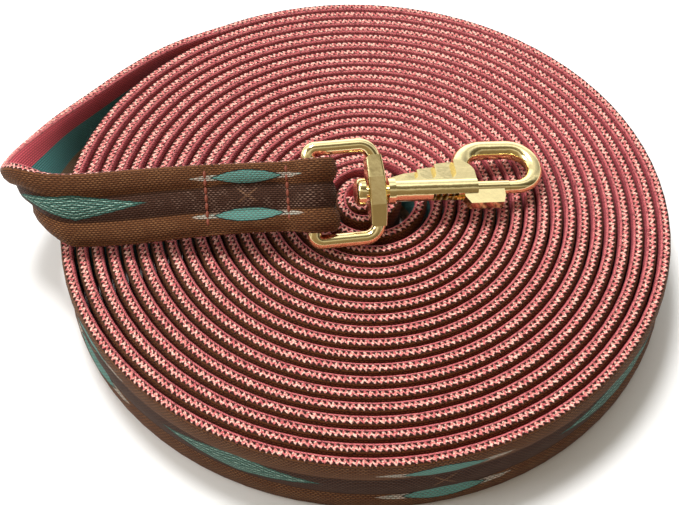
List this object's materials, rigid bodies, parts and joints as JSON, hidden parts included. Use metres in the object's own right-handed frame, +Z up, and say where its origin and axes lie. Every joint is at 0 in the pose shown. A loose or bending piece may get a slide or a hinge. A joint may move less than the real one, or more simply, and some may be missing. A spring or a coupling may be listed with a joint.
{
  "type": "training leash",
  "caption": "Long flat webbing leash wound on edge into a flat coil, with a swivel bolt snap sewn to its free end.",
  "frame": {"origin": "centre of the coil on its underside, where the leash lies on a table or floor", "axes": "+Z up out of the flat coil; +X along the strap and snap as they lie over the coil, from the diagonal fold towards the hook; +Y towards the side the webbing leaves the coil"},
  "size_m": [0.2181, 0.1987, 0.0524],
  "materials": {
    "webbing": "patterned woven webbing, brown and red with teal figures",
    "thread": "rust-orange sewing thread",
    "snap_metal": "polished pale gold",
    "spring_wire": "bright wire"
  },
  "bodies": {
    "webbing": {"webbing_coil": "webbing", "hand_loop": "webbing", "webbing_lead": "webbing", "webbing_end": "webbing", "loop_stitches": "thread", "stitch_row_front": "thread", "stitch_row_back": "thread"},
    "eye": {"swivel_eye": "snap_metal"},
    "snap": {"snap_body": "snap_metal", "swivel_rivet": "snap_metal", "bolt_spring": "spring_wire"},
    "bolt": {"snap_bolt": "snap_metal"}
  },
  "joints": [
    {"name": "eye_pivot", "type": "hinge", "parent": "webbing", "child": "eye", "pos_m": [-0.01852, -0.01205, 0.03967], "axis": [0.0981, -0.7434, -0.6616], "range_deg": [0, 150]},
    {"name": "snap_swivel", "type": "hinge", "parent": "eye", "child": "snap", "pos_m": [-0.00101, -0.00842, 0.03788], "axis": [0.9772, 0.1686, -0.1289], "range_deg": [0, 180]},
    {"name": "bolt_slide", "type": "slide", "parent": "snap", "child": "bolt", "axis": [-0.9772, -0.1686, 0.1289], "range_m": [0, 0.01], "stiffness_N_per_m": 600, "springref_m": -0.003, "deforming": ["bolt_spring"]}
  ]
}
